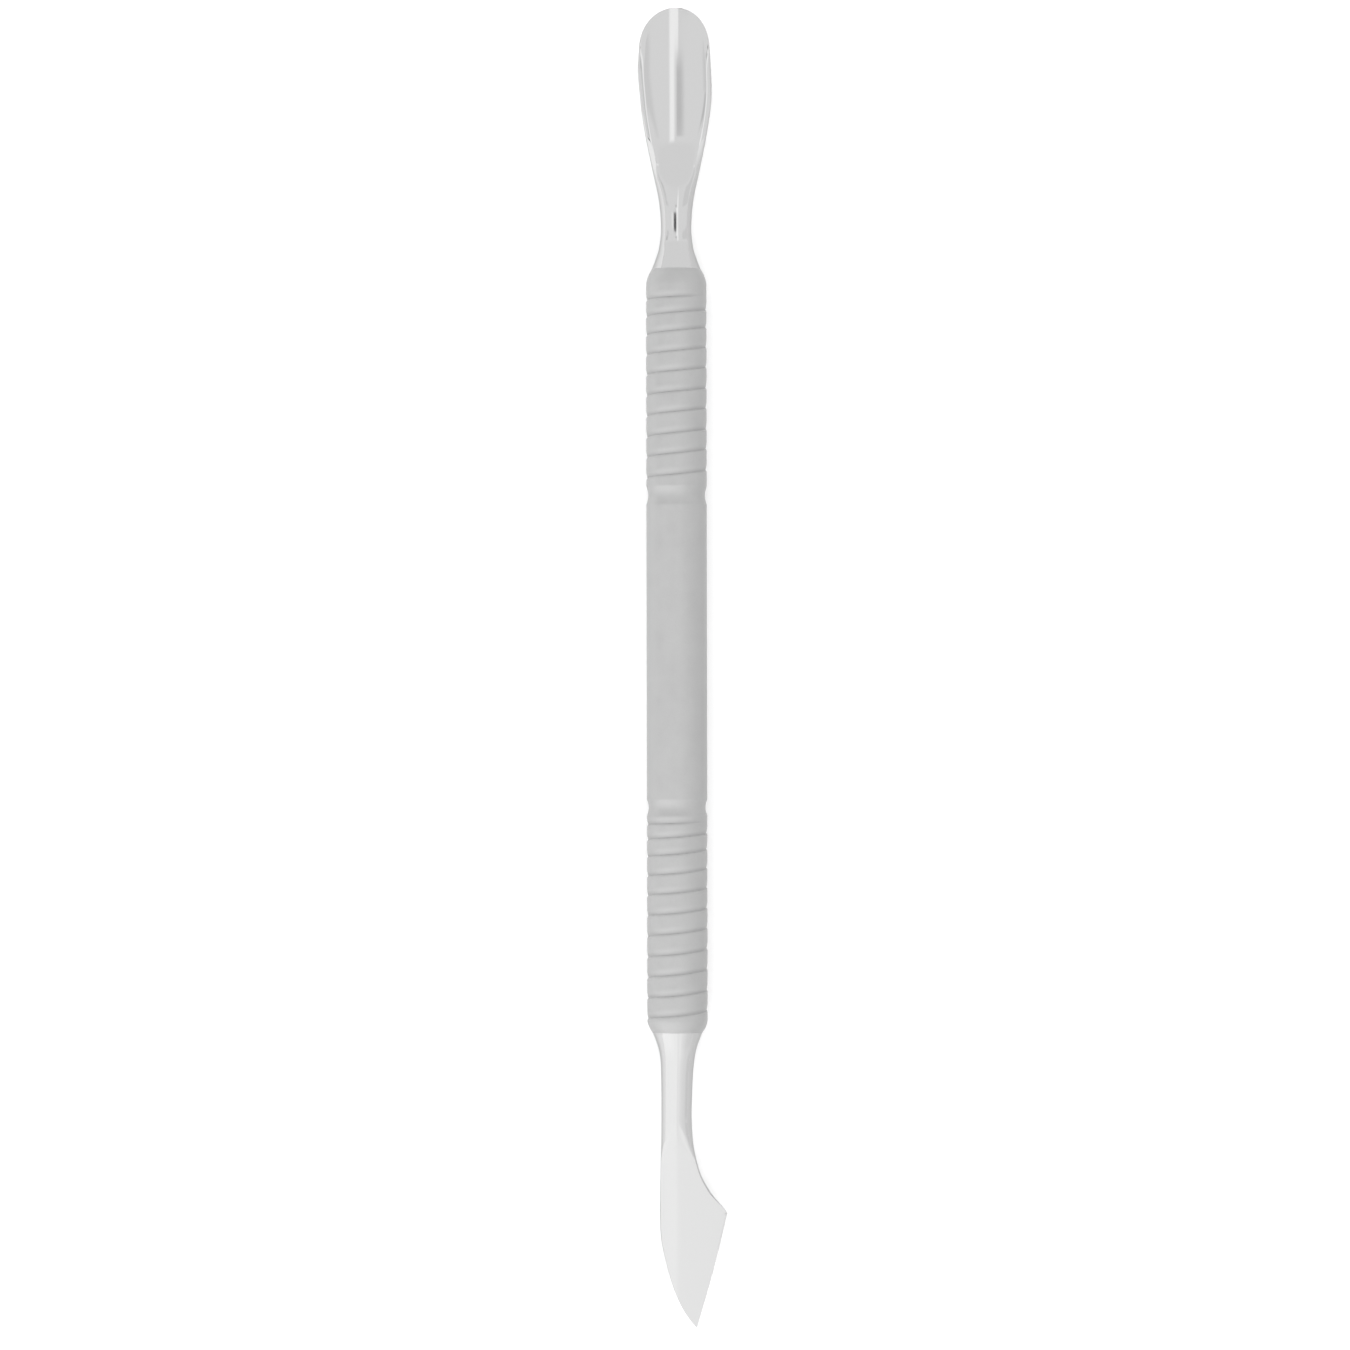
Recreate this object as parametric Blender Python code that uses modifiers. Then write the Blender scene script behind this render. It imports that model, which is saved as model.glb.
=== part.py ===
"""Double-ended cuticle pusher: a hollow steel handle with a spoon-shaped pusher brazed into one
end and a flat pointed cleaner blade brazed into the other.

Metres, +Z up. The tool lies along X on the plane z = 0: the pusher's tip is at +X with its hollow
face up, the cleaner's tip is at -X with its cutting edge towards -Y. The origin is under the
middle of the overall length. Both ends are measured from their own tip, and a distance from a
tip is called a station. Heights of the two ends are measured from the handle's axis.
"""

import math

import bmesh
import bpy
from mathutils import Vector

MM = 0.001

# Handle: a drawn tube with two helically grooved grips
OVERALL = 135.0 * MM
HANDLE_R = 3.1 * MM
BORE_R = 2.1 * MM
BORE_MOUTH = 0.15 * MM  # chamfer at each end of the bore
FACETS = 24  # round the tube
PUSHER_REACH = 26.7 * MM  # from the pusher's tip to its shoulder on the tube
CLEANER_REACH = 30.3 * MM  # from the cleaner's tip to its shoulder on the tube
PUSHER_SHOULDER_R = 2.5 * MM
CLEANER_SHOULDER_R = 2.6 * MM
PUSHER_ROUNDING = 1.7 * MM  # length over which the tube's end rounds down to the shoulder
CLEANER_ROUNDING = 1.3 * MM
WAISTS = ((17.65 * MM, 1.85 * MM), (-14.25 * MM, 1.6 * MM))  # centre and length of each groove
WAIST_DEPTH = 0.18 * MM
WAIST_STEPS = 8
SHOULDER_POWER = 1.9  # 2 would round the tube's ends as a quarter of an ellipse
SHOULDER_STEPS = 6

# Helical grooves: both start at the pusher's side of their grip, on the -Y side of the tube
PITCH = 2.105 * MM
GROOVE_TOOL_R = 0.35 * MM
GROOVE_DEPTH = 0.14 * MM
GROOVE_DRIFT = 0.08 * MM  # the far side of every turn sits this much nearer the pusher
GROOVE_RUN_OUT = 0.25  # turns over which the tool enters and leaves the metal
GROOVE_CLEAR = 0.03 * MM  # how far the tool stands off the metal at either end
# start, number of turns, pitches lost while the feed picks up, turns that this takes
GRIPS = ((38.03 * MM, 10.0, 0.57, 1.1), (-15.66 * MM, 10.7, 0.83, 1.4))

# Joint: a spigot on each end, with a groove for the ring of silver braze
SPIGOT_R = 2.05 * MM
SPIGOT_LENGTH = 7.0 * MM
SPIGOT_LEAD = 0.4 * MM
BRAZE_SEAT_R = 1.70 * MM
BRAZE_SEAT = (0.4 * MM, 1.1 * MM)  # distances from the shoulder
BRAZE_GAP = 0.05 * MM
SEAM = 0.03 * MM  # between a shoulder and the end of the tube
SHARP_ANGLE = math.radians(32)  # edges sharper than this stay crisp on both working ends

# Pusher: station and half width behind the tip's arch, out to the shoulder
PUSHER_OUTLINE = [
    (0.0, 3.46), (4.1, 3.61), (6.6, 3.75), (9.9, 3.595), (13.1, 3.13), (16.4, 2.46),
    (19.7, 1.77), (22.7, 1.555), (24.6, 1.775), (25.6, 2.09), (26.7, 2.50),
]
ARCH_LENGTH = 4.1 * MM
ARCH_POWER = 2.05
PUSHER_HEIGHT = [(13.0, 1.20), (17.6, 1.40), (20.5, 1.52), (22.7, 1.555), (23.0, 1.565)]
NECK_STATION = 22.7 * MM  # the section is round from here to the shoulder
HOLLOW_R = 7.0 * MM  # the scoop is a channel of this radius along the tool
HOLLOW_END = (18.2 * MM, 13.2 * MM)  # stations where the scoop begins and is at full depth
RIM_ROLL = (1.6 * MM, 6.0 * MM)  # stations between which the rims gain their rounded shoulder
RIM_DROP = 0.30 * MM  # how far the rim rolls over to the side
TIP_LIFT = 0.40 * MM  # how far the tip curves up
LIFT_STATION = 13.0 * MM
FLOOR_Z = 0.20 * MM
BELLY = [(0.0, 0.18), (1.2, 0.40), (3.5, 0.70), (7.0, 0.98), (12.0, 1.30), (16.0, 1.55)]
FULLNESS = (0.5, 0.8)  # power of the underside's curve at the neck and under the scoop
PUSHER_STEPS = 10  # facets over a quarter of the section
RIM_STEP = 7  # the step at which the scoop meets the rim
PUSHER_NOSE = 0.006 * MM  # station of the foremost ring

# Cleaner: station and offset from the axis, towards +Y for the spine and -Y for the flank
CLEANER_NOSE = 0.04 * MM
CLEANER_SPINE = [
    (0.0, -1.94), (0.8, -1.24), (2.45, -0.20), (4.9, 0.76), (7.4, 1.40), (9.0, 1.70), (10.8, 1.81),
    (15.5, 1.78), (18.8, 1.69), (22.0, 1.665), (26.0, 1.69), (27.6, 1.77), (28.6, 1.97), (29.4, 2.24),
    (30.3, 2.60),
]
CLEANER_FLANK = [
    (11.76, 5.06), (12.3, 4.68), (13.1, 3.94), (13.9, 3.31), (15.5, 2.43), (17.2, 1.91), (18.8, 1.60),
    (21.5, 1.44), (23.7, 1.49), (26.0, 1.59), (27.6, 1.76), (28.6, 1.97), (29.4, 2.24), (30.3, 2.60),
]
EDGE_HEEL = (11.76 * MM, 5.06 * MM)  # the sharp corner where the cutting edge starts
EDGE_TIP = (0.0, 1.94 * MM)
EDGE_BELLY = 0.10 * MM  # how far the cutting edge swells from a straight line
EDGE_THICK = 0.06 * MM
EDGE_SLOPE = (EDGE_HEEL[1] - EDGE_TIP[1]) / (EDGE_HEEL[0] - EDGE_TIP[0])
EDGE_SLANT = math.atan(EDGE_SLOPE)
BEVEL = 1.7 * MM  # width of the ground bevel under the cutting edge
PLATE_HALF = 0.55 * MM
GROUND = (21.2 * MM, 16.6 * MM)  # stations between which the flats run out of the round shank
SHANK_HALF = 1.54 * MM  # half thickness of the shank where it is still round
CLIP_LIMIT = math.radians(80)  # most that a rounded side turns away from level
KEEN = 0.10  # share of the side's rounding that is left on the cutting edge
KEEN_STATIONS = (11.8 * MM, 14.2 * MM)
SIDE_STEPS = 6  # facets over each part of the section
TOP_STEPS = 8
BEVEL_STEPS = 2
FOOT_STEPS = 6
BREAK_MARGIN = (0.04, 0.1)  # least distance of the bevel's inner line from either side, in halves

AXIS_Z = HANDLE_R * math.cos(math.pi / FACETS)  # a facet of the tube lies on z = 0
PUSHER_TIP_X = OVERALL / 2
CLEANER_TIP_X = -OVERALL / 2
TUBE_TOP = PUSHER_TIP_X - PUSHER_REACH
TUBE_FOOT = CLEANER_TIP_X + CLEANER_REACH


def smooth(start, end, value):
    """0 at start, 1 at end, with an easy slope at both; start may be the larger."""
    t = min(1.0, max(0.0, (value - start) / (end - start)))
    return t * t * (3 - 2 * t)


def mix(a, b, share):
    return a + (b - a) * share


def through(points, station):
    """A smooth curve through points in millimetres, read at a station in metres."""
    at = station / MM
    if at <= points[0][0]:
        return points[0][1] * MM
    if at >= points[-1][0]:
        return points[-1][1] * MM
    slopes = []
    for i in range(len(points)):
        before, after = points[max(0, i - 1)], points[min(len(points) - 1, i + 1)]
        slopes.append((after[1] - before[1]) / (after[0] - before[0]))
    i = max(k for k in range(len(points) - 1) if points[k][0] <= at)
    (x0, y0), (x1, y1) = points[i], points[i + 1]
    span = x1 - x0
    t = (at - x0) / span
    value = (
        (2 * t**3 - 3 * t**2 + 1) * y0
        + (t**3 - 2 * t**2 + t) * span * slopes[i]
        + (3 * t**2 - 2 * t**3) * y1
        + (t**3 - t**2) * span * slopes[i + 1]
    )
    return value * MM


def spread(start, end, count, ease=False):
    """Stations from start up to but not including end; eased ones crowd near start."""
    shares = [k / count for k in range(count)]
    if ease:
        shares = [1 - math.cos(share * math.pi / 2) for share in shares]
    return [mix(start, end, share) for share in shares]


# ---------------------------------------------------------------- scene helpers


def new_collection(name):
    collection = bpy.data.collections.new(name)
    bpy.context.scene.collection.children.link(collection)
    return collection


def metal(name, colour, roughness):
    material = bpy.data.materials.new(name)
    material.use_nodes = True
    shader = material.node_tree.nodes["Principled BSDF"]
    shader.inputs["Base Color"].default_value = (*colour, 1.0)
    shader.inputs["Metallic"].default_value = 1.0
    shader.inputs["Roughness"].default_value = roughness
    return material


def add_object(name, mesh, collection, parent, material=None):
    obj = bpy.data.objects.new(name, mesh)
    collection.objects.link(obj)
    obj.parent = parent
    if material:
        mesh.materials.append(material)
    return obj


def lie_along_x(obj):
    """Turns an object made round its own Z axis so that its +Z end points along +X."""
    obj.rotation_euler = (0.0, math.pi / 2, 0.0)


def turned(name, profile, closed, collection, parent, material):
    """A solid of revolution; the profile is (radius, height), outer side from top to bottom."""
    offset = math.pi / FACETS
    mesh = bpy.data.meshes.new(name)
    points = [(r * math.cos(offset), r * math.sin(offset), z) for r, z in profile]
    edges = [(i, i + 1) for i in range(len(points) - 1)]
    if closed:
        edges.append((len(points) - 1, 0))
    mesh.from_pydata(points, edges, [])
    obj = add_object(name, mesh, collection, parent, material)
    screw = obj.modifiers.new("revolve", "SCREW")
    screw.axis = "Z"
    screw.angle = math.tau
    screw.steps = FACETS
    screw.render_steps = FACETS
    screw.use_merge_vertices = True
    screw.merge_threshold = 0.000001
    screw.use_smooth_shade = True
    lie_along_x(obj)
    return obj


def loft(name, rings, collection, parent, material):
    """A closed skin over rings of points, every ring with the same number of points."""
    bm = bmesh.new()
    rows = [[bm.verts.new(point) for point in ring] for ring in rings]
    count = len(rows[0])
    for row, following in zip(rows, rows[1:]):
        for i in range(count):
            j = (i + 1) % count
            bm.faces.new((row[i], row[j], following[j], following[i]))
    bm.faces.new(rows[0])
    bm.faces.new(rows[-1])
    bmesh.ops.recalc_face_normals(bm, faces=bm.faces)
    mesh = bpy.data.meshes.new(name)
    bm.to_mesh(mesh)
    bm.free()
    mesh.shade_smooth()
    mesh.set_sharp_from_angle(angle=SHARP_ANGLE)
    return add_object(name, mesh, collection, parent, material)


# ---------------------------------------------------------------- handle tube


def shoulder(radius_end, length, end, inward):
    """The rounded end of the tube, from its end face to the full radius."""
    points = []
    for k in range(SHOULDER_STEPS):
        left = 1 - k / SHOULDER_STEPS
        radius = HANDLE_R - (HANDLE_R - radius_end) * left**SHOULDER_POWER
        points.append((radius, end + inward * length * (1 - left)))
    points.append((HANDLE_R, end + inward * length))
    return points


def waist(centre, length):
    """A shallow round-bottomed groove that ends each grip beside the plain middle."""
    arc_r = (length**2 / 4 + WAIST_DEPTH**2) / (2 * WAIST_DEPTH)
    points = []
    for k in range(WAIST_STEPS + 1):
        along = length * (0.5 - k / WAIST_STEPS)
        cut = math.sqrt(arc_r**2 - along**2) - (arc_r - WAIST_DEPTH)
        points.append((HANDLE_R - cut, centre + along))
    return points


def tube_profile():
    outside = shoulder(PUSHER_SHOULDER_R, PUSHER_ROUNDING, TUBE_TOP, -1)
    for centre, length in WAISTS:
        outside += waist(centre, length)
    outside += reversed(shoulder(CLEANER_SHOULDER_R, CLEANER_ROUNDING, TUBE_FOOT, 1))
    inside = [
        (BORE_R + BORE_MOUTH, TUBE_FOOT),
        (BORE_R, TUBE_FOOT + BORE_MOUTH),
        (BORE_R, TUBE_TOP - BORE_MOUTH),
        (BORE_R + BORE_MOUTH, TUBE_TOP),
    ]
    return outside + inside


def groove_path(start, turns, lost, pick_up):
    """Centre of the grooving tool along one grip, as (x, y, z) round the Z axis."""
    points = []
    for k in range(int(turns * FACETS) + 1):
        turn = k / FACETS
        fed = turn - lost * (1 - math.exp(-turn / pick_up))
        height = start - PITCH * fed + GROOVE_DRIFT * (1 - math.cos(math.tau * turn))
        entered = min(smooth(0, GROOVE_RUN_OUT, turn), smooth(turns, turns - GROOVE_RUN_OUT, turn))
        reach = HANDLE_R + GROOVE_TOOL_R - mix(-GROOVE_CLEAR, GROOVE_DEPTH, entered)
        angle = math.pi / FACETS - math.pi / 2 - math.tau * turn
        points.append((reach * math.cos(angle), reach * math.sin(angle), height))
    return points


def groove_cutter(name, path, collection, parent):
    """The swept groove as a closed mesh that can cut the tube."""
    curve = bpy.data.curves.new(name, "CURVE")
    curve.dimensions = "3D"
    curve.twist_mode = "Z_UP"
    curve.bevel_depth = GROOVE_TOOL_R
    curve.bevel_resolution = 2
    curve.use_fill_caps = True
    spline = curve.splines.new("POLY")
    spline.points.add(len(path) - 1)
    for point, place in zip(spline.points, path):
        point.co = (*place, 1.0)
    sweep = add_object(name + "_path", curve, collection, parent)
    lie_along_x(sweep)
    bpy.context.view_layer.update()
    evaluated = sweep.evaluated_get(bpy.context.evaluated_depsgraph_get())
    mesh = bpy.data.meshes.new_from_object(evaluated)
    bm = bmesh.new()
    bm.from_mesh(mesh)
    bmesh.ops.remove_doubles(bm, verts=bm.verts, dist=0.000001)
    bmesh.ops.recalc_face_normals(bm, faces=bm.faces)
    bm.to_mesh(mesh)
    bm.free()
    cutter = add_object(name, mesh, collection, parent)
    lie_along_x(cutter)
    bpy.data.objects.remove(sweep)
    cutter.hide_render = True
    cutter.display_type = "WIRE"
    return cutter


def add_handle_tube(parts, cutters, axis, material):
    tube = turned("handle_tube", tube_profile(), True, parts, axis, material)
    for number, grip in enumerate(GRIPS, 1):
        cutter = groove_cutter(f"groove_{number}", groove_path(*grip), cutters, axis)
        cut = tube.modifiers.new(cutter.name, "BOOLEAN")
        cut.operation = "DIFFERENCE"
        cut.object = cutter


# ---------------------------------------------------------------- spigots and braze


def spigot_radii(shoulder_r):
    """(distance behind the shoulder, radius) from the shoulder to the spigot's end."""
    return [
        (0.0, shoulder_r),
        (0.0, SPIGOT_R),
        (BRAZE_SEAT[0], SPIGOT_R),
        (BRAZE_SEAT[0], BRAZE_SEAT_R),
        (BRAZE_SEAT[1], BRAZE_SEAT_R),
        (BRAZE_SEAT[1], SPIGOT_R),
        (SPIGOT_LENGTH - SPIGOT_LEAD, SPIGOT_R),
        (SPIGOT_LENGTH, SPIGOT_R - SPIGOT_LEAD),
    ]


def add_braze_ring(name, shoulder_x, inward, parts, axis, material):
    near = shoulder_x + inward * (BRAZE_SEAT[0] + BRAZE_GAP)
    far = shoulder_x + inward * (BRAZE_SEAT[1] - BRAZE_GAP)
    top, foot = max(near, far), min(near, far)
    outer, inner = BORE_R - BRAZE_GAP, BRAZE_SEAT_R + BRAZE_GAP
    profile = [(inner, top), (outer, top), (outer, foot), (inner, foot)]
    turned(name, profile, True, parts, axis, material)


# ---------------------------------------------------------------- pusher end


def pusher_half_width(station):
    half = through(PUSHER_OUTLINE, station)
    if station < ARCH_LENGTH:
        left = 1 - station / ARCH_LENGTH
        half *= (1 - left**ARCH_POWER) ** (1 / ARCH_POWER)
    return half


def pusher_ring(station, radius=None):
    """The section at a station: round at the neck, a scoop with rolled rims at the spoon."""
    x = PUSHER_TIP_X - station
    half = radius or pusher_half_width(station)
    height = half if station >= NECK_STATION else through(PUSHER_HEIGHT, station)
    scooped = smooth(*HOLLOW_END, station)
    inner = half * math.sin(RIM_STEP / PUSHER_STEPS * math.pi / 2)
    floor = FLOOR_Z + TIP_LIFT * max(0.0, 1 - station / LIFT_STATION) ** 2
    rolled = smooth(*RIM_ROLL, station)
    belly_z = mix(-height, floor - through(BELLY, station), scooped)
    fullness = mix(*FULLNESS, scooped)

    def channel(y):
        return floor + HOLLOW_R - math.sqrt(HOLLOW_R**2 - y**2)

    def top(y):
        dome = height * math.sqrt(max(0.0, 1 - (y / half) ** 2))
        roll = max(0.0, (y - inner) / (half - inner))
        shoulder_z = channel(min(y, inner)) - RIM_DROP * (1 - math.sqrt(max(0.0, 1 - roll**2)))
        return mix(dome, mix(channel(y), shoulder_z, rolled), scooped)

    def bottom(y):
        side = top(half)
        return side - (side - belly_z) * max(0.0, 1 - (y / half) ** 2) ** fullness

    ys = [half * math.sin(step / PUSHER_STEPS * math.pi / 2) for step in range(PUSHER_STEPS + 1)]
    section = [(y, top(y)) for y in ys]
    section += [(y, bottom(y)) for y in reversed(ys[:-1])]
    section += [(-y, bottom(y)) for y in ys[1:]]
    section += [(-y, top(y)) for y in reversed(ys[1:-1])]
    return [Vector((x, y, z)) for y, z in section]


def add_pusher_end(parts, axis, material):
    shoulder_station = PUSHER_REACH - SEAM
    stations = [PUSHER_NOSE] + spread(0.0, ARCH_LENGTH, 9, ease=True)[1:]
    stations += spread(ARCH_LENGTH, HOLLOW_END[1], 8)
    stations += spread(HOLLOW_END[1], HOLLOW_END[0], 9)
    stations += spread(HOLLOW_END[0], shoulder_station, 12)
    rings = [pusher_ring(station) for station in stations]
    for back, radius in spigot_radii(PUSHER_SHOULDER_R):
        rings.append(pusher_ring(shoulder_station + back, radius))
    loft("pusher_end", rings, parts, axis, material)


# ---------------------------------------------------------------- cleaner end


def edge_line(station):
    """Offset of the cutting edge's straight line, which the bevel is ground along."""
    return EDGE_TIP[1] + EDGE_SLOPE * station


def flank_offset(station):
    if station >= EDGE_HEEL[0]:
        return through(CLEANER_FLANK, station)
    return edge_line(station) + EDGE_BELLY * math.sin(math.pi * station / EDGE_HEEL[0])


def rounded_side(inner, outer, z_from, z_to, clip):
    """Points over one rounded side of the section, from z_from up to but not including z_to."""
    points = []
    for k in range(SIDE_STEPS):
        turn = mix(clip, -clip, k / SIDE_STEPS)
        bulge = (math.cos(turn) - math.cos(clip)) / (1 - math.cos(clip))
        share = (1 - math.sin(turn) / math.sin(clip)) / 2
        points.append((mix(inner, outer, bulge), mix(z_from, z_to, share)))
    return points


def cleaner_ring(station, radius=None):
    """The section at a station: round at the shank, a flat plate with one bevel at the blade."""
    x = CLEANER_TIP_X + station
    spine = radius or through(CLEANER_SPINE, station)
    flank = -(radius or flank_offset(station))
    middle, half = (spine + flank) / 2, (spine - flank) / 2
    ground = smooth(*GROUND, station)
    height = mix(half, SHANK_HALF, ground)
    plate = mix(height, PLATE_HALF, ground)
    clip = min(math.asin(min(1.0, plate / height)), CLIP_LIMIT)
    inset = half * (1 - math.cos(clip))
    left = spine - inset
    right = flank + inset * mix(KEEN, 1.0, smooth(*KEEN_STATIONS, station))

    def crown(y):
        """The upper face: domed on the round shank, flat on the ground plate."""
        share = min(abs(y - middle) / half, math.cos(clip))
        return min(plate, height * math.sqrt(1 - share**2))

    def underside(y):
        """The lower face, raised where the bevel is ground."""
        from_edge = (y + edge_line(station)) * math.cos(EDGE_SLANT)
        rise = max(0.0, 1 - from_edge / BEVEL) * (2 * plate - EDGE_THICK) * ground
        return min(rise - crown(y), plate - EDGE_THICK)

    break_y = BEVEL / math.cos(EDGE_SLANT) - edge_line(station)
    break_y = max(break_y, right + BREAK_MARGIN[0] * half)
    break_y = min(break_y, left - BREAK_MARGIN[1] * half)
    points = [(y, crown(y)) for y in spread(left, right, TOP_STEPS)]
    points += rounded_side(right, flank, crown(right), underside(right), clip)
    points += [(y, underside(y)) for y in spread(right, break_y, BEVEL_STEPS)]
    points += [(y, underside(y)) for y in spread(break_y, left, FOOT_STEPS)]
    points += rounded_side(left, spine, underside(left), crown(left), clip)
    return [Vector((x, y, z)) for y, z in points]


def add_cleaner_end(parts, axis, material):
    shoulder_station = CLEANER_REACH - SEAM
    stations = [CLEANER_NOSE] + spread(0.0, EDGE_HEEL[0], 16)[1:]
    stations += spread(EDGE_HEEL[0], GROUND[1], 12)
    stations += spread(GROUND[1], GROUND[0], 10)
    stations += spread(GROUND[0], shoulder_station, 13)
    rings = [cleaner_ring(station) for station in stations]
    for back, radius in spigot_radii(CLEANER_SHOULDER_R):
        rings.append(cleaner_ring(shoulder_station + back, radius))
    loft("cleaner_end", rings, parts, axis, material)


# ---------------------------------------------------------------- assembly


def main():
    for obj in list(bpy.data.objects):
        bpy.data.objects.remove(obj)
    parts = new_collection("cuticle_pusher")
    cutters = new_collection("cutters")
    axis = bpy.data.objects.new("tool_axis", None)
    axis.location = (0.0, 0.0, AXIS_Z)
    parts.objects.link(axis)

    satin = metal("satin_steel", (0.56, 0.56, 0.55), 0.42)
    polished = metal("polished_steel", (0.70, 0.70, 0.69), 0.12)
    braze = metal("silver_braze", (0.74, 0.70, 0.60), 0.35)

    add_handle_tube(parts, cutters, axis, satin)
    add_pusher_end(parts, axis, polished)
    add_cleaner_end(parts, axis, polished)
    add_braze_ring("pusher_braze_ring", TUBE_TOP, -1, parts, axis, braze)
    add_braze_ring("cleaner_braze_ring", TUBE_FOOT, 1, parts, axis, braze)


main()
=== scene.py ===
"""Looks of the double-ended cuticle pusher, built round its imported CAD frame.

Metres, in the row frame: the tool lies along X on z = 0 with the pusher's tip at +X and the
cleaner's tip at -X. A distance from a tip is called a station; outlines are in millimetres, and
heights of the two ends are measured from the handle's axis.
"""

import math

import bpy
import numpy as np
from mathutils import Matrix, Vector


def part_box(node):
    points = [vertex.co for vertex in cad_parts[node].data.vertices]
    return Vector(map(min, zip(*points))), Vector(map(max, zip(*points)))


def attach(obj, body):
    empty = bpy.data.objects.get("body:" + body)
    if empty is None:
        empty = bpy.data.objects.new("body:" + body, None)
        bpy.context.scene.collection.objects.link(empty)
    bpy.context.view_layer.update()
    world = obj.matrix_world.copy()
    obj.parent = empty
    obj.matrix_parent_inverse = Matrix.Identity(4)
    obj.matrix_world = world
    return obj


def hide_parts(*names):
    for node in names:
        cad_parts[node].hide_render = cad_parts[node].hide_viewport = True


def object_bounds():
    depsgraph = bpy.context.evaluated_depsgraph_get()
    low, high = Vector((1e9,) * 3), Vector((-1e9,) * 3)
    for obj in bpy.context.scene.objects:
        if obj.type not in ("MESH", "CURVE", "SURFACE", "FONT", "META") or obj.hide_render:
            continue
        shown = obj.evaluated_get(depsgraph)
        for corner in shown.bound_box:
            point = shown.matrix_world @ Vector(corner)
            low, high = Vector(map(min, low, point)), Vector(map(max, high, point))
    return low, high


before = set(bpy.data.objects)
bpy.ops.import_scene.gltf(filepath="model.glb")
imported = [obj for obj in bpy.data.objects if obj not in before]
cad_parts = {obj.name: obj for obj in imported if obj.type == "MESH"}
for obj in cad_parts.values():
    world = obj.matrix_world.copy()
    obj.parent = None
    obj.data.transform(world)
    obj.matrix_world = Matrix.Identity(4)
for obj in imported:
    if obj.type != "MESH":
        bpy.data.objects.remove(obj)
CAD_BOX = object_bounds()

MM = 0.001
TINY = 1e-9

# ---------------------------------------------------------------- places from the frame

PUSHER_TIP_X = CAD_BOX[1].x
CLEANER_TIP_X = CAD_BOX[0].x
OVERALL = PUSHER_TIP_X - CLEANER_TIP_X
TUBE_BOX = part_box("handle_tube")
TUBE_FOOT, TUBE_TOP = TUBE_BOX[0].x, TUBE_BOX[1].x
AXIS_Y = (TUBE_BOX[0].y + TUBE_BOX[1].y) / 2
AXIS_Z = (TUBE_BOX[0].z + TUBE_BOX[1].z) / 2
PUSHER_REACH = PUSHER_TIP_X - TUBE_TOP
CLEANER_REACH = TUBE_FOOT - CLEANER_TIP_X

# ---------------------------------------------------------------- handle

HANDLE_R = 3.09 * MM
BORE_R = 2.1 * MM
BORE_MOUTH = 0.15 * MM
PUSHER_SHOULDER_R = 2.5 * MM
CLEANER_SHOULDER_R = 2.6 * MM
PUSHER_ROUNDING = 1.7 * MM
CLEANER_ROUNDING = 1.3 * MM
ROUNDING_POWER = 1.9
WAISTS = ((17.65 * MM, 1.85 * MM), (-14.25 * MM, 1.6 * MM))  # centre and length of each groove
WAIST_DEPTH = 0.18 * MM
WAIST_SOFTNESS = WAIST_DEPTH / 8  # of the edge on either side of a waist
WAIST_SPAN = 1.3  # half lengths from a waist's centre to where its softened edge stops

# Helical grooves: start, number of turns, pitches lost while the feed picks up, turns this takes
GRIPS = ((38.03 * MM, 10.0, 0.57, 1.1), (-15.66 * MM, 10.7, 0.83, 1.4))
PITCH = 2.105 * MM
GROOVE_DEPTH = 0.13 * MM
GROOVE_DRIFT = 0.08 * MM  # the far side of every turn sits this much nearer the pusher
GROOVE_RUN_OUT = 0.25  # turns over which the tool enters and leaves the metal
GROOVE_STEEP = 0.24 * MM  # width of the wall that faces the pusher
GROOVE_EASY = 0.80 * MM  # width of the wall that rolls over from the crest above
GROOVE_WANDER = 0.035 * MM  # how far the hand-fed tool strays from its path
WANDER_RATES = (5.3, 2.1)  # radians per turn of the two waves that make it up

HANDLE_SIDES = 144
GRIP_STEP = 0.072 * MM
PLAIN_STEP = 1.5 * MM
FINE_STEP = 0.1 * MM
LEAST_STEP = 0.02 * MM
GRIP_MARGINS = (0.5 * MM, 1.0 * MM)  # how far the fine steps go past a grip's end and its start
WAIST_MARGIN = 0.65  # of a waist's length, stepped finely on either side of its centre
HANDLE_SHARP = math.radians(50)  # edges steeper than this are drawn sharp

# ---------------------------------------------------------------- spigots

SPIGOT_R = 2.05 * MM
SPIGOT_LENGTH = 7.0 * MM
SPIGOT_LEAD = 0.4 * MM
BRAZE_SEAT_R = 1.70 * MM
BRAZE_SEAT = (0.4 * MM, 1.1 * MM)  # distances from the shoulder
SEAM = 0.004 * MM

END_SHARP = math.radians(40)  # edges of the two ends steeper than this are drawn sharp

# ---------------------------------------------------------------- pusher end

PUSHER_OUTLINE = [
    (0.0, 3.46), (4.1, 3.61), (6.6, 3.75), (9.9, 3.595), (13.1, 3.13), (16.4, 2.46),
    (19.7, 1.77), (22.7, 1.555), (24.6, 1.775), (25.6, 2.09), (26.7, 2.50),
]
ARCH_LENGTH = 4.1 * MM  # of the rounded tip
ARCH_POWER = 2.05
PUSHER_NOSE = 0.003 * MM  # station of the first ring
PUSHER_HEIGHT = [
    (13.0, 1.05), (16.0, 1.22), (17.6, 1.455), (18.4, 1.57), (19.2, 1.655), (19.8, 1.697),
    (20.3, 1.711), (20.8, 1.697), (21.4, 1.667), (22.0, 1.634), (22.6, 1.601), (23.2, 1.572),
    (23.6, 1.562), (24.0, 1.585), (24.6, 1.73), (25.6, 2.06), (26.7, 2.50),
]
NECK_LEAN = 0.05  # the neck's crest sits this much off its middle, towards -Y
NECK_ENDS = (25.5 * MM, 24.0 * MM)
HOLLOW_R = 7.0 * MM
HOLLOW_END = (18.2 * MM, 13.2 * MM)
RIM_ROLL = (1.0 * MM, 7.0 * MM)  # stations between which the land round the scoop grows
LAND_WIDTH = 0.42 * MM
LAND_IN = math.tan(math.radians(4))  # slope of the land where it meets the scoop, facing inward
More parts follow.
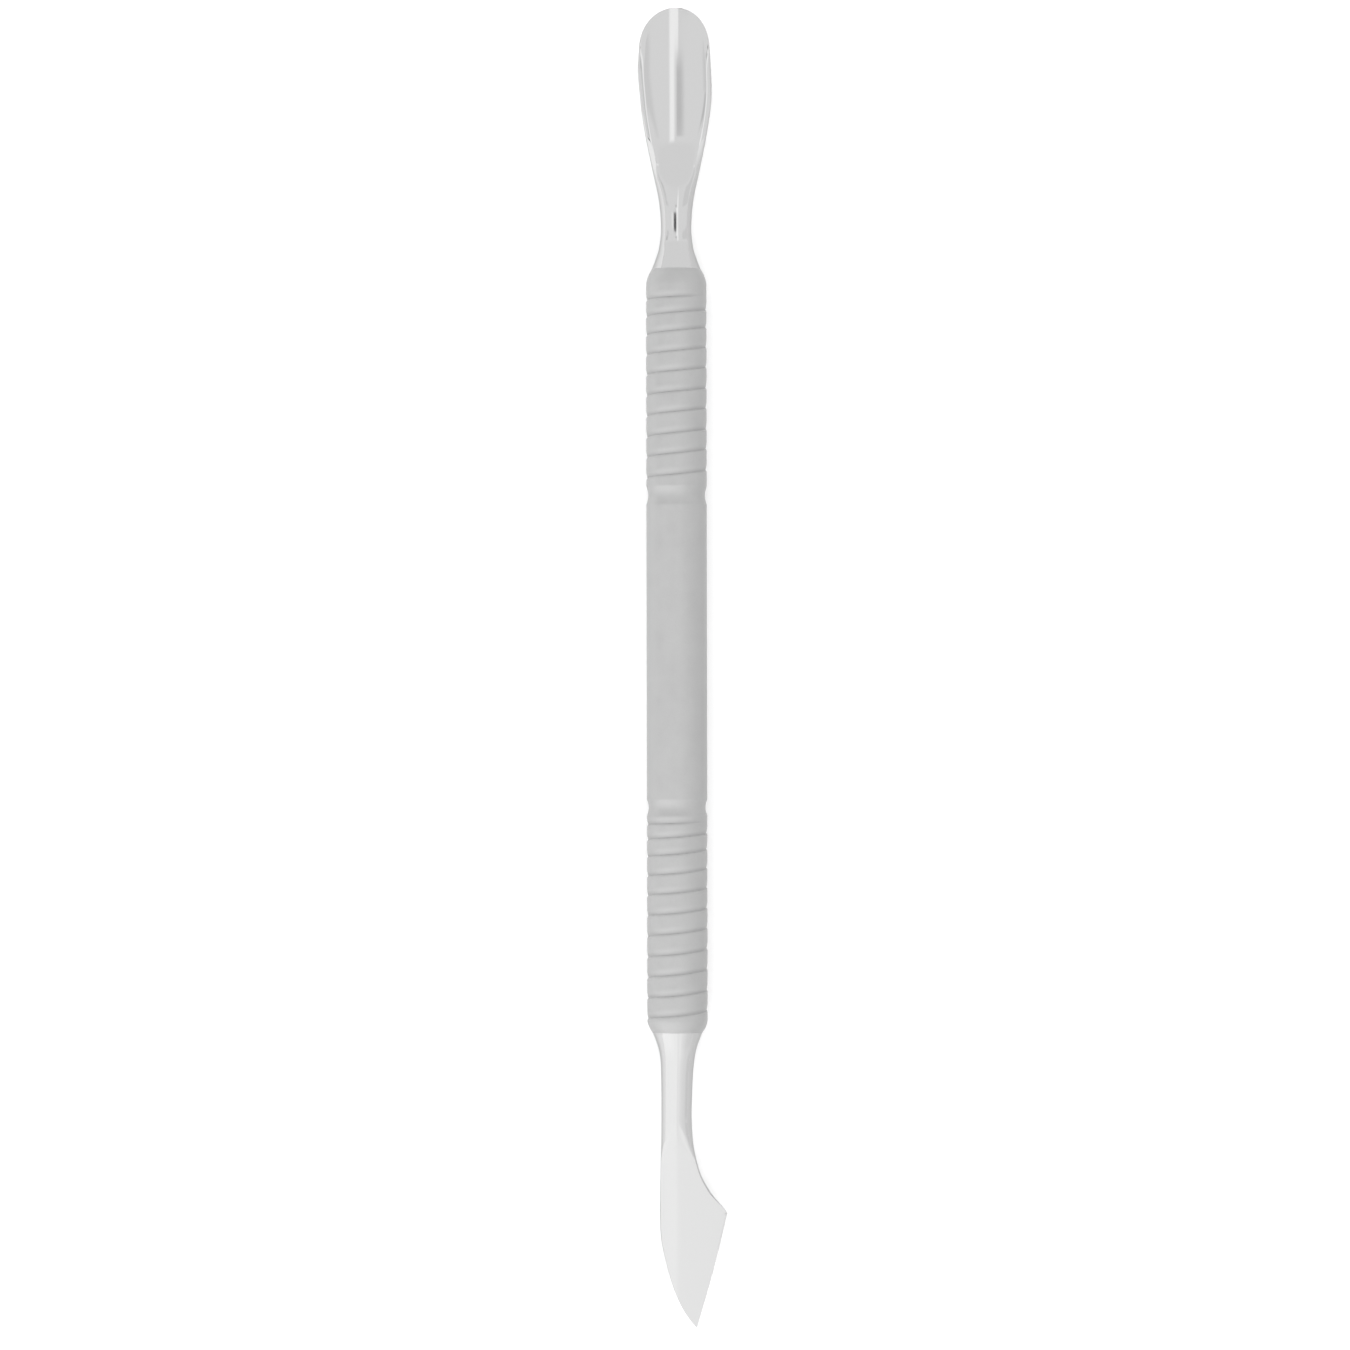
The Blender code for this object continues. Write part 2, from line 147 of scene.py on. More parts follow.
LAND_OUT = math.tan(math.radians(14))  # slope at its outer edge, facing outward
LAND_LEAN = 0.055  # the lands are ground leaning this much towards -Y
EDGE_ROLL = 0.18 * MM  # width of the rounded outer edge
EDGE_DROP = 0.25 * MM
LEAST_OUTER = 0.8  # of the half width that the edge leaves free where the tip gets narrow
LEAST_INNER = 0.6  # of the half width that the land leaves free there
WALL_RISE = 0.05 * MM  # how much the scoop's wall steepens below the land
WALL_WIDTH = 0.60 * MM
WIDEST = 6.6 * MM
SKEW = 0.16 * MM  # the tip's rim is ground this much over towards +Y
SKEW_AT = 3.7 * MM  # distance from the middle where it is that much
SKEW_STATIONS = (9.6 * MM, 5.6 * MM)
LEVELLING = 0.75  # share of the rim's height that the wall makes up as the scoop narrows
LEVELLING_WIDTH = 1.4 * MM  # of wall over which it does so
TIP_LIFT = 0.40 * MM
LIFT_STATION = 13.0 * MM
FLOOR_Z = 0.20 * MM
BELLY = [(0.0, 0.18), (1.2, 0.40), (3.5, 0.70), (7.0, 0.98), (12.0, 1.30), (16.0, 1.55)]
NECK_FULLNESS = 0.5  # makes the underside round
BELLY_FULLNESS = 0.8

SCOOP_STEPS = 16  # over half the scoop
LAND_STEPS = 7
ROLL_STEPS = 7
BELLY_STEPS = 18
PUSHER_RINGS = (28, 40, 40, 60)  # in the rounded tip, the scoop, its run-out and the neck

# ---------------------------------------------------------------- cleaner end

CLEANER_SPINE = [  # the +Y side
    (0.0, -1.94), (0.8, -1.24), (2.45, -0.20), (4.9, 0.76), (7.4, 1.40), (9.0, 1.70),
    (10.8, 1.81), (15.5, 1.78), (18.8, 1.69), (22.0, 1.665), (26.0, 1.69), (27.6, 1.77),
    (28.6, 1.97), (29.4, 2.24), (30.3, 2.60),
]
CLEANER_FLANK = [  # the -Y side, from the cutting edge's heel
    (11.76, 5.06), (12.3, 4.68), (13.1, 3.94), (13.9, 3.31), (15.5, 2.43), (17.2, 1.91),
    (18.8, 1.60), (21.5, 1.44), (23.7, 1.49), (26.0, 1.59), (27.6, 1.76), (28.6, 1.97),
    (29.4, 2.24), (30.3, 2.60),
]
CLEANER_NOSE = 0.02 * MM  # station of the first ring
EDGE_HEEL = (11.76 * MM, 5.06 * MM)
EDGE_TIP = (0.0, 1.94 * MM)
EDGE_BELLY = 0.10 * MM
EDGE_THICK = 0.06 * MM
EDGE_SLOPE = (EDGE_HEEL[1] - EDGE_TIP[1]) / (EDGE_HEEL[0] - EDGE_TIP[0])
EDGE_SLANT = math.atan(EDGE_SLOPE)
BEVEL = 1.7 * MM
BREAK_MARGINS = (0.04, 0.1)  # half widths that the bevel's inner edge keeps from either side
PLATE_HALF = 0.55 * MM
FACE_FALL = 18.0  # per metre, how fast the ground face curves down towards the spine
FACE_FALL_FROM = -0.15 * MM
GROUND = (21.2 * MM, 16.6 * MM)
GROUND_BLEND = 0.55 * MM  # how softly the flat runs out into the round shank
LEAST_BLEND = 0.001 * MM
SHANK_HALF = 1.54 * MM  # half the shank's height, which it keeps from here towards the blade
SHANK_SETTLES = (24.5 * MM, 21.0 * MM)
CLIP_LIMIT = math.radians(80)
KEEN = 0.10  # of the rounding that is left along the cutting edge
SPINE_KEEN = 0.35  # and along the spine of the blade
KEEN_STATIONS = (11.8 * MM, 14.2 * MM)

SIDE_STEPS = 16
TOP_STEPS = 24
BEVEL_STEPS = 6
FOOT_STEPS = 18
CLEANER_RINGS = (60, 40, 40, 60)  # along the edge, to the shank, in its run-out and the shank

# ---------------------------------------------------------------- camera and studio

TOOL_SHARE = 0.9772  # of the frame's height that the tool fills
VIEW_ROLL = math.radians(-0.1)
VIEW_OFFSET = (-0.716 * MM, 0.194 * MM)  # from the tool's middle to the middle of the view
LENS_MM = 150.0
SENSOR_MM = 36.0


# ---------------------------------------------------------------- shared helpers


def smooth(start, end, value):
    """0 at start, 1 at end, with an easy slope at both; start may be the larger."""
    t = np.clip((value - start) / (end - start), 0.0, 1.0)
    return t * t * (3 - 2 * t)


def mix(a, b, share):
    return a + (b - a) * share


def through(points, station):
    """A smooth curve through points in millimetres, read at a station in metres."""
    at = station / MM
    if at <= points[0][0]:
        return points[0][1] * MM
    if at >= points[-1][0]:
        return points[-1][1] * MM
    slopes = []
    for i in range(len(points)):
        before, after = points[max(0, i - 1)], points[min(len(points) - 1, i + 1)]
        slopes.append((after[1] - before[1]) / (after[0] - before[0]))
    i = max(k for k in range(len(points) - 1) if points[k][0] <= at)
    (x0, y0), (x1, y1) = points[i], points[i + 1]
    span = x1 - x0
    t = (at - x0) / span
    value = (
        (2 * t**3 - 3 * t**2 + 1) * y0
        + (t**3 - 2 * t**2 + t) * span * slopes[i]
        + (3 * t**2 - 2 * t**3) * y1
        + (t**3 - t**2) * span * slopes[i + 1]
    )
    return value * MM


def spread(start, end, count, ease=False):
    """Stations from start up to but not including end; eased ones crowd near start."""
    shares = [k / count for k in range(count)]
    if ease:
        shares = [1 - math.cos(share * math.pi / 2) for share in shares]
    return [mix(start, end, share) for share in shares]


def add_piece(name, rings, node, material, sharp_angle, joined=False):
    """A skin over rings of points that stands for a CAD node. Its ends are closed with caps, or
    joined to each other where the rings go round a tube's wall."""
    points = np.array(rings, float)
    turns, sides = points.shape[:2]
    points[:, :, 1] += AXIS_Y
    points[:, :, 2] += AXIS_Z
    faces = []
    for row in range(turns if joined else turns - 1):
        after = (row + 1) % turns
        for i in range(sides):
            j = (i + 1) % sides
            faces.append((row * sides + i, after * sides + i, after * sides + j, row * sides + j))
    if not joined:
        faces.append(tuple(reversed(range(sides))))
        faces.append(tuple(range((turns - 1) * sides, turns * sides)))
    mesh = bpy.data.meshes.new(name)
    mesh.from_pydata(points.reshape(-1, 3).tolist(), [], faces)
    mesh.validate()
    mesh.shade_smooth()
    mesh.set_sharp_from_angle(angle=sharp_angle)
    mesh.materials.append(material)
    piece = bpy.data.objects.new(name, mesh)
    bpy.context.scene.collection.objects.link(piece)
    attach(piece, "root")
    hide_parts(node)
    return piece


# ---------------------------------------------------------------- materials


NOISE_SPAN = (0.3, 0.7)  # most of what a noise node gives lies between these


class Graph:
    """Short calls for building a node tree."""

    def __init__(self, tree, place):
        self.tree = tree
        self.place = self.add("ShaderNodeTexCoord").outputs[place]

    def add(self, kind, **settings):
        node = self.tree.nodes.new(kind)
        for key, value in settings.items():
            setattr(node, key, value)
        return node

    def link(self, source, target):
        self.tree.links.new(source, target)

    def ranged(self, value, low, high, start=0.0, end=1.0, curve="LINEAR"):
        """Value read from low..high and given out as start..end."""
        node = self.add("ShaderNodeMapRange", interpolation_type=curve)
        self.link(value, node.inputs["Value"])
        node.inputs["From Min"].default_value = low
        node.inputs["From Max"].default_value = high
        node.inputs["To Min"].default_value = start
        node.inputs["To Max"].default_value = end
        return node.outputs["Result"]

    def calc(self, operation, a, b):
        """The result of a sum or a product; a and b are numbers or sockets."""
        node = self.add("ShaderNodeMath", operation=operation)
        for value, socket in zip((a, b), node.inputs):
            if isinstance(value, float):
                socket.default_value = value
            else:
                self.link(value, socket)
        return node.outputs["Value"]


class Nodes(Graph):
    """A material's node tree."""

    def __init__(self, name):
        self.material = bpy.data.materials.new(name)
        self.material.use_nodes = True
        super().__init__(self.material.node_tree, "Object")
        self.shader = self.tree.nodes["Principled BSDF"]

    def noise(self, scale, stretch=(1, 1, 1), detail=3.0, roughness=0.55):
        """Noise over the surface, in cells per metre; stretch scales it along each axis."""
        mapping = self.add("ShaderNodeMapping")
        mapping.inputs["Scale"].default_value = [scale * s for s in stretch]
        self.link(self.place, mapping.inputs["Vector"])
        noise = self.add("ShaderNodeTexNoise")
        noise.inputs["Scale"].default_value = 1.0
        noise.inputs["Detail"].default_value = detail
        noise.inputs["Roughness"].default_value = roughness
        self.link(mapping.outputs["Vector"], noise.inputs["Vector"])
        return noise.outputs["Fac"]

    def varied(self, noise, low, high):
        """A number that follows the noise between low and high."""
        return self.ranged(noise, *NOISE_SPAN, low, high)

    def grey(self, value):
        node = self.add("ShaderNodeCombineColor")
        for socket in node.inputs[:3]:
            self.link(value, socket)
        return node.outputs["Color"]

    def bump(self, height, distance, strength=1.0, normal=None):
        node = self.add("ShaderNodeBump")
        node.inputs["Distance"].default_value = distance
        node.inputs["Strength"].default_value = strength
        self.link(height, node.inputs["Height"])
        if normal is not None:
            self.link(normal, node.inputs["Normal"])
        return node.outputs["Normal"]


def satin_steel():
    """Bead-blasted steel: fine even pits and soft clouding, with painted shade down in the
    grooves.
    """
    m = Nodes("satin_steel")
    m.shader.inputs["Metallic"].default_value = 1.0
    clouds = m.noise(420, detail=2.0)
    grain = m.noise(9000, detail=2.0, roughness=0.6)
    groove = m.add("ShaderNodeAttribute", attribute_name="groove").outputs["Fac"]
    tone = m.calc("ADD", m.varied(clouds, 0.335, 0.360), m.varied(grain, -0.007, 0.007))
    # Painted shade: the base colour darkens by up to 22% with the grooves' depth.
    tone = m.calc("MULTIPLY", tone, m.ranged(groove, 0.25, 1.0, 1.0, 0.78))
    m.link(m.grey(tone), m.shader.inputs["Base Color"])
    m.link(m.varied(clouds, 0.40, 0.48), m.shader.inputs["Roughness"])
    m.link(m.bump(grain, 0.006 * MM), m.shader.inputs["Normal"])
    return m.material


def polished_steel():
    """Buffed steel with faint marks along the tool."""
    m = Nodes("polished_steel")
    m.shader.inputs["Metallic"].default_value = 1.0
    m.shader.inputs["Base Color"].default_value = (0.427, 0.427, 0.427, 1.0)
    m.shader.inputs["Specular Tint"].default_value = (0.70, 0.70, 0.70, 1.0)
    clouds = m.noise(500, detail=2.0)
    m.link(m.varied(clouds, 0.045, 0.075), m.shader.inputs["Roughness"])
    marks = m.noise(3500, stretch=(0.06, 1, 1), detail=2.0)
    m.link(m.bump(marks, 0.0006 * MM), m.shader.inputs["Normal"])
    return m.material


def braze_silver():
    """Warm silver with fine pores, as it sets."""
    m = Nodes("braze_silver")
    m.shader.inputs["Metallic"].default_value = 1.0
    m.shader.inputs["Base Color"].default_value = (0.74, 0.70, 0.60, 1.0)
    pores = m.noise(4000)
    m.link(m.varied(pores, 0.28, 0.42), m.shader.inputs["Roughness"])
    m.link(m.bump(pores, 0.01 * MM), m.shader.inputs["Normal"])
    return m.material


# ---------------------------------------------------------------- handle


def groove_depths(xs, turn_share):
    """Depth of the helical grooves at each place along the tube, on one line along its side.
    turn_share is that line's place round the tube, from the -Y side over the top."""
    depth = np.zeros_like(xs)
    for start, turns, lost, pick_up in GRIPS:
        for whole in range(int(turns) + 1):
            turn = whole + turn_share
            if turn > turns:
                continue
            fed = turn - lost * (1 - math.exp(-turn / pick_up))
            drift = GROOVE_DRIFT * (1 - math.cos(math.tau * turn))
            first, second = (rate * turn for rate in WANDER_RATES)
            wander = GROOVE_WANDER * math.sin(first) * math.sin(second + 1)
            s = xs - (start - PITCH * fed + drift + wander)
            entered = min(
                smooth(0, GROOVE_RUN_OUT, turn), smooth(turns, turns - GROOVE_RUN_OUT, turn)
            )
            wall = np.where(s < 0, -s / GROOVE_STEEP, s / GROOVE_EASY)
            cut = GROOVE_DEPTH * entered * np.clip(1 - wall, 0, 1) ** 2
            depth = np.maximum(depth, cut)
    return depth


def tube_radius(xs):
    """Radius of the tube, with its shoulders and waists, before the grips are cut."""
    pusher_left = np.clip(1 - (TUBE_TOP - xs) / PUSHER_ROUNDING, 0, 1)
    cleaner_left = np.clip(1 - (xs - TUBE_FOOT) / CLEANER_ROUNDING, 0, 1)
    radius = HANDLE_R - (HANDLE_R - PUSHER_SHOULDER_R) * pusher_left**ROUNDING_POWER
    radius -= (HANDLE_R - CLEANER_SHOULDER_R) * cleaner_left**ROUNDING_POWER
    for centre, length in WAISTS:
        along = np.clip(np.abs(xs - centre) / (length / 2), 0, WAIST_SPAN)
        cut = WAIST_DEPTH * (1 - along**2)
        radius -= (cut + np.hypot(cut, WAIST_SOFTNESS)) / 2 - WAIST_SOFTNESS**2 / WAIST_DEPTH / 4
    return radius


def tube_stations():
    """Places along the tube: close together on the grips, waists and shoulders."""
    fine = []
    for start, turns, lost, _ in GRIPS:
        end = start - PITCH * (turns - lost)
        fine.append((end - GRIP_MARGINS[0], start + GRIP_MARGINS[1], GRIP_STEP))
    for centre, length in WAISTS:
        margin = length * WAIST_MARGIN
        fine.append((centre - margin, centre + margin, FINE_STEP))
    fine.append((TUBE_FOOT, TUBE_FOOT + CLEANER_ROUNDING, FINE_STEP))
    fine.append((TUBE_TOP - PUSHER_ROUNDING, TUBE_TOP, FINE_STEP))
    xs, x = [TUBE_FOOT], TUBE_FOOT
    while x < TUBE_TOP - LEAST_STEP:
        steps = [step for low, high, step in fine if low <= x + TINY < high]
        if steps:
            step = min(steps)
        else:
            ahead = min([low - x for low, _, _ in fine if low > x] + [TUBE_TOP - x])
            step = min(PLAIN_STEP, ahead)
        x = min(x + step, TUBE_TOP)
        xs.append(x)
    return np.array(xs)


def add_handle(material):
    xs = tube_stations()
    base = tube_radius(xs)
    turn_shares = np.arange(HANDLE_SIDES) / HANDLE_SIDES
    depths = np.array([groove_depths(xs, share) for share in turn_shares]).T
    radii = base[:, None] - depths
    angles = math.tau * (0.25 - turn_shares)  # from +Z round towards -Y
    rings = np.stack(
        [
            np.repeat(xs[:, None], HANDLE_SIDES, axis=1),
            -radii * np.sin(angles),
            radii * np.cos(angles),
        ],
        axis=2,
    )
    bore = []
    for x, r in (
        (TUBE_TOP, BORE_R + BORE_MOUTH),
        (TUBE_TOP - BORE_MOUTH, BORE_R),
        (TUBE_FOOT + BORE_MOUTH, BORE_R),
        (TUBE_FOOT, BORE_R + BORE_MOUTH),
    ):
        bore.append(
            np.stack([np.full(HANDLE_SIDES, x), -r * np.sin(angles), r * np.cos(angles)], axis=1)
        )
    rings = np.concatenate([rings, np.array(bore)])
    handle = add_piece(
        "satin_handle", rings, "handle_tube", material, HANDLE_SHARP, joined=True
    )
    # Depth of the grooves at each point, which the satin steel reads for its painted shade in the
    # grooves.
    cut = handle.data.attributes.new("groove", "FLOAT", "POINT")
    shares = np.concatenate([depths.ravel() / GROOVE_DEPTH, np.zeros(len(bore) * HANDLE_SIDES)])
    cut.data.foreach_set("value", shares)


# ---------------------------------------------------------------- spigots


def spigot_radii(shoulder_r):
    """(distance behind the shoulder, radius) from the shoulder to the spigot's end."""
    return [
        (0.0, shoulder_r),
        (0.0, SPIGOT_R),
        (BRAZE_SEAT[0], SPIGOT_R),
        (BRAZE_SEAT[0], BRAZE_SEAT_R),
        (BRAZE_SEAT[1], BRAZE_SEAT_R),
        (BRAZE_SEAT[1], SPIGOT_R),
        (SPIGOT_LENGTH - SPIGOT_LEAD, SPIGOT_R),
        (SPIGOT_LENGTH, SPIGOT_R - SPIGOT_LEAD),
    ]


# ---------------------------------------------------------------- pusher end


def pusher_half_width(station):
    half = through(PUSHER_OUTLINE, station)
    if station < ARCH_LENGTH:
        left = 1 - station / ARCH_LENGTH
        half *= (1 - left**ARCH_POWER) ** (1 / ARCH_POWER)
    return half


def pusher_ring(station, radius=None):
    """The section at a station: round at the neck, a scoop inside a narrow land at the spoon."""
    x = PUSHER_TIP_X - station
    half = radius or pusher_half_width(station)
    height = radius or through(PUSHER_HEIGHT, station)
    scooped = smooth(*HOLLOW_END, station)
    outer = half * max(LEAST_OUTER, 1 - EDGE_ROLL / half)
    inner = half * max(LEAST_INNER, 1 - (EDGE_ROLL + LAND_WIDTH) / half)
    floor = FLOOR_Z + TIP_LIFT * max(0.0, 1 - station / LIFT_STATION) ** 2
    rolled = smooth(*RIM_ROLL, station)
    belly_z = mix(-height, floor - through(BELLY, station), scooped)
    fullness = mix(NECK_FULLNESS, BELLY_FULLNESS, scooped)

    def channel(y):
        return floor + HOLLOW_R - math.sqrt(HOLLOW_R**2 - y**2)

    neck_lean = NECK_LEAN * smooth(*NECK_ENDS, station)
    broad = pusher_half_width(WIDEST) - EDGE_ROLL - LAND_WIDTH
    levelled = LEVELLING * (channel(broad) - channel(inner)) if station > WIDEST else 0.0

    def rim(y):
        """The scoop's wall, the land and the rounded edge."""
        out = abs(y)
        lean = math.copysign(LAND_LEAN, y)
        z = channel(min(out, inner))
        for rise, width in ((WALL_RISE, WALL_WIDTH), (levelled, LEVELLING_WIDTH)):
            z += rise * max(0.0, 1 - (inner - min(out, inner)) / width) ** 2
        if out > inner:
            t = min(1.0, (out - inner) / (outer - inner))
            z += (outer - inner) * ((LAND_IN + lean) * t - (LAND_IN + LAND_OUT) / 2 * t**2)
        if out > outer:
            u = min(1.0, (out - outer) / (half - outer))
            z -= (LAND_OUT - lean) * (out - outer) + EDGE_DROP * (1 - math.sqrt(1 - u**2))
        return z

    def top(y):
        share = max(0.0, 1 - (y / half) ** 2)
        dome = height * math.sqrt(share) - neck_lean * y * share
        return mix(dome, mix(channel(y), rim(y), rolled), scooped)

    def bottom(y):
        side = top(math.copysign(half, y))
        return side - (side - belly_z) * max(0.0, 1 - (y / half) ** 2) ** fullness

    tops = [inner * math.sin(k / SCOOP_STEPS * math.pi / 2) for k in range(SCOOP_STEPS)]
    tops += [mix(inner, outer, k / LAND_STEPS) for k in range(LAND_STEPS)]
    rolls = [math.sin(k / ROLL_STEPS * math.pi / 2) for k in range(ROLL_STEPS + 1)]
    tops += [mix(outer, half, share) for share in rolls]
    lows = [half * math.sin(k / BELLY_STEPS * math.pi / 2) for k in range(BELLY_STEPS)]
    section = [(y, top(y)) for y in tops]
    section += [(y, bottom(y)) for y in reversed(lows)]
    section += [(-y, bottom(-y)) for y in lows[1:]]
    section += [(-y, top(-y)) for y in reversed(tops[1:])]
    skew = SKEW * smooth(*SKEW_STATIONS, station)
    return [(x, y + skew * (y / SKEW_AT) ** 2, z) for y, z in section]


def add_pusher(material):
    shoulder_station = PUSHER_REACH - SEAM
    in_tip, in_scoop, in_run_out, in_neck = PUSHER_RINGS
    stations = [PUSHER_NOSE] + spread(0.0, ARCH_LENGTH, in_tip, ease=True)[1:]
    stations += spread(ARCH_LENGTH, HOLLOW_END[1], in_scoop)
    stations += spread(HOLLOW_END[1], HOLLOW_END[0], in_run_out)
    stations += spread(HOLLOW_END[0], shoulder_station, in_neck)
    rings = [pusher_ring(station) for station in stations]
    for back, radius in spigot_radii(PUSHER_SHOULDER_R):
        rings.append(pusher_ring(shoulder_station + back, radius))
    add_piece("polished_pusher", rings, "pusher_end", material, END_SHARP)


# ---------------------------------------------------------------- cleaner end


def edge_line(station):
    """Offset of the cutting edge's straight line, which the bevel is ground along."""
    return EDGE_TIP[1] + EDGE_SLOPE * station


def flank_offset(station):
    if station >= EDGE_HEEL[0]:
        return through(CLEANER_FLANK, station)
    return edge_line(station) + EDGE_BELLY * math.sin(math.pi * station / EDGE_HEEL[0])


def rounded_side(inner, outer, z_from, z_to, clip):
    """Points over one rounded side of the section, from z_from up to but not including z_to."""
    points = []
    for k in range(SIDE_STEPS):
        turn = mix(clip, -clip, k / SIDE_STEPS)
        bulge = (math.cos(turn) - math.cos(clip)) / (1 - math.cos(clip))
        share = (1 - math.sin(turn) / math.sin(clip)) / 2
        points.append((mix(inner, outer, bulge), mix(z_from, z_to, share)))
    return points


def cleaner_ring(station, radius=None):
    """The section at a station: round at the shank, a flat plate with one bevel at the blade."""
    x = CLEANER_TIP_X + station
    spine = radius or through(CLEANER_SPINE, station)
    flank = -(radius or flank_offset(station))
    middle, half = (spine + flank) / 2, (spine - flank) / 2
    ground = smooth(*GROUND, station)
    height = mix(half, SHANK_HALF, smooth(*SHANK_SETTLES, station))
    plate = mix(height, PLATE_HALF, ground)
    clip = min(math.asin(min(1.0, plate / height)), CLIP_LIMIT)
    inset = half * (1 - math.cos(clip))
    blend = max(GROUND_BLEND * 4 * ground * (1 - ground), LEAST_BLEND)
    left = spine - inset * mix(1.0, SPINE_KEEN, ground)
    right = flank + inset * mix(KEEN, 1.0, smooth(*KEEN_STATIONS, station))

    def crown(y):
        """The upper face: domed on the round shank, nearly flat on the ground plate."""
        share = min(abs(y - middle) / half, math.cos(clip))
        dome = height * math.sqrt(1 - share**2)
        meeting = min(1.0, max(0.0, 0.5 + (dome - plate) / (2 * blend)))
        face = mix(dome, plate, meeting) - blend * meeting * (1 - meeting)
        return face - FACE_FALL * max(0.0, y - FACE_FALL_FROM) ** 2 * ground

    def underside(y):
        """The lower face, raised where the bevel is ground."""
        from_edge = (y + edge_line(station)) * math.cos(EDGE_SLANT)
        rise = max(0.0, 1 - from_edge / BEVEL) * (2 * plate - EDGE_THICK) * ground
        return min(rise - crown(y), plate - EDGE_THICK)

    break_y = BEVEL / math.cos(EDGE_SLANT) - edge_line(station)
    break_y = max(break_y, right + BREAK_MARGINS[0] * half)
    break_y = min(break_y, left - BREAK_MARGINS[1] * half)
    tops = [mix(left, right, k / TOP_STEPS) for k in range(TOP_STEPS)]
    bevels = [mix(right, break_y, k / BEVEL_STEPS) for k in range(BEVEL_STEPS)]
    feet = [mix(break_y, left, k / FOOT_STEPS) for k in range(FOOT_STEPS)]
    points = [(y, crown(y)) for y in tops]
    points += rounded_side(right, flank, crown(right), underside(right), clip)
    points += [(y, underside(y)) for y in bevels + feet]
    points += rounded_side(left, spine, underside(left), crown(left), clip)
    return [(x, y, z) for y, z in points]


def add_cleaner(material):
    shoulder_station = CLEANER_REACH - SEAM
    at_edge, behind_edge, in_run_out, in_shank = CLEANER_RINGS
    stations = [CLEANER_NOSE] + spread(0.0, EDGE_HEEL[0], at_edge)[1:]
    stations += spread(EDGE_HEEL[0], GROUND[1], behind_edge)
    stations += spread(GROUND[1], GROUND[0], in_run_out)
    stations += spread(GROUND[0], shoulder_station, in_shank)
    rings = [cleaner_ring(station) for station in stations]
    for back, radius in spigot_radii(CLEANER_SHOULDER_R):
        rings.append(cleaner_ring(shoulder_station + back, radius))
    add_piece("polished_cleaner", rings, "cleaner_end", material, END_SHARP)


# ---------------------------------------------------------------- studio

SKY = 1.5  # radiance of the light tent
FLOOR_SIZE = 6.0
FLOOR_TONE = 0.94
DIM_TONE = 0.83  # of the floor on the -Y side: painted shade, which the steel's edges mirror
DIM_SIDE = (-12 * MM, -3 * MM)  # Y over which the floor brightens from that tone
LIT_SIDE = (2 * MM, 12 * MM)  # Y over which the painted glow on the floor comes on, which the steel's edges mirror
LIT_GLOW = 0.20
ALL_ROUND = (-2.1, -2.0, 2.0, 2.1)
OVER_CLEANER = (-2.1, -2.0, -0.07, -0.05)
WALL_BEYOND = (-2.1, -2.0, -0.9, -0.15)
IN_NECK = (-0.052, -0.042, -0.022, -0.012)
# Brighter and darker patches of the tent: radiance added, then where each begins, is full,
# starts to fade and is gone, in the direction's component across the tool (Y) and along it (X)
PATCHES = [
    (0.27, (-0.9, -0.15, 2.0, 2.1), OVER_CLEANER),  # softbox over the cleaner
    (0.14, (-0.015, 0.03, 2.0, 2.1), OVER_CLEANER),  # its brighter side
    (-0.17, (-2.1, -2.0, -0.96, -0.84), OVER_CLEANER),  # dark edge of that softbox
    (0.12, (-2.1, -2.0, -0.3, 0.0), (-2.1, -2.0, -0.5, -0.15)),  # wall beyond the cleaner
    (0.14, (0.15, 0.7, 2.0, 2.1), WALL_BEYOND),  # lit side of that wall
    (-0.34, (-2.1, -2.0, -0.8, -0.05), WALL_BEYOND),  # its shaded side
    (-0.17, (-2.1, -2.0, -0.78, -0.60), (0.02, 0.03, 0.14, 0.21)),  # wall on the pusher's -Y side
    (-0.20, (0.78, 0.92, 0.95, 0.97), (0.025, 0.035, 0.07, 0.09)),  # wall on its +Y side
    (-0.42, (0.86, 0.92, 0.95, 0.97), (0.08, 0.10, 0.19, 0.22)),  # darker part of that wall
    (-0.06, ALL_ROUND, (0.2, 0.4, 2.0, 2.1)),  # wall beyond the pusher
    (0.43, (-0.22, -0.14, -0.085, -0.005), (-0.045, -0.035, 0.14, 0.36)),  # strip light
    (0.43, (-0.085, -0.005, 0.05, 0.09), (-0.03, -0.02, 0.018, 0.042)),  # the strip's foot
    (-0.40, (-0.005, 0.05, 0.10, 0.30), (0.022, 0.050, 0.088, 0.108)),  # flag beside the strip
    (-1.40, (0.05, 0.10, 0.34, 0.44), IN_NECK),  # gap in the tent
    (0.36, (0.46, 0.54, 0.58, 0.66), IN_NECK),  # lamp beside the gap
]


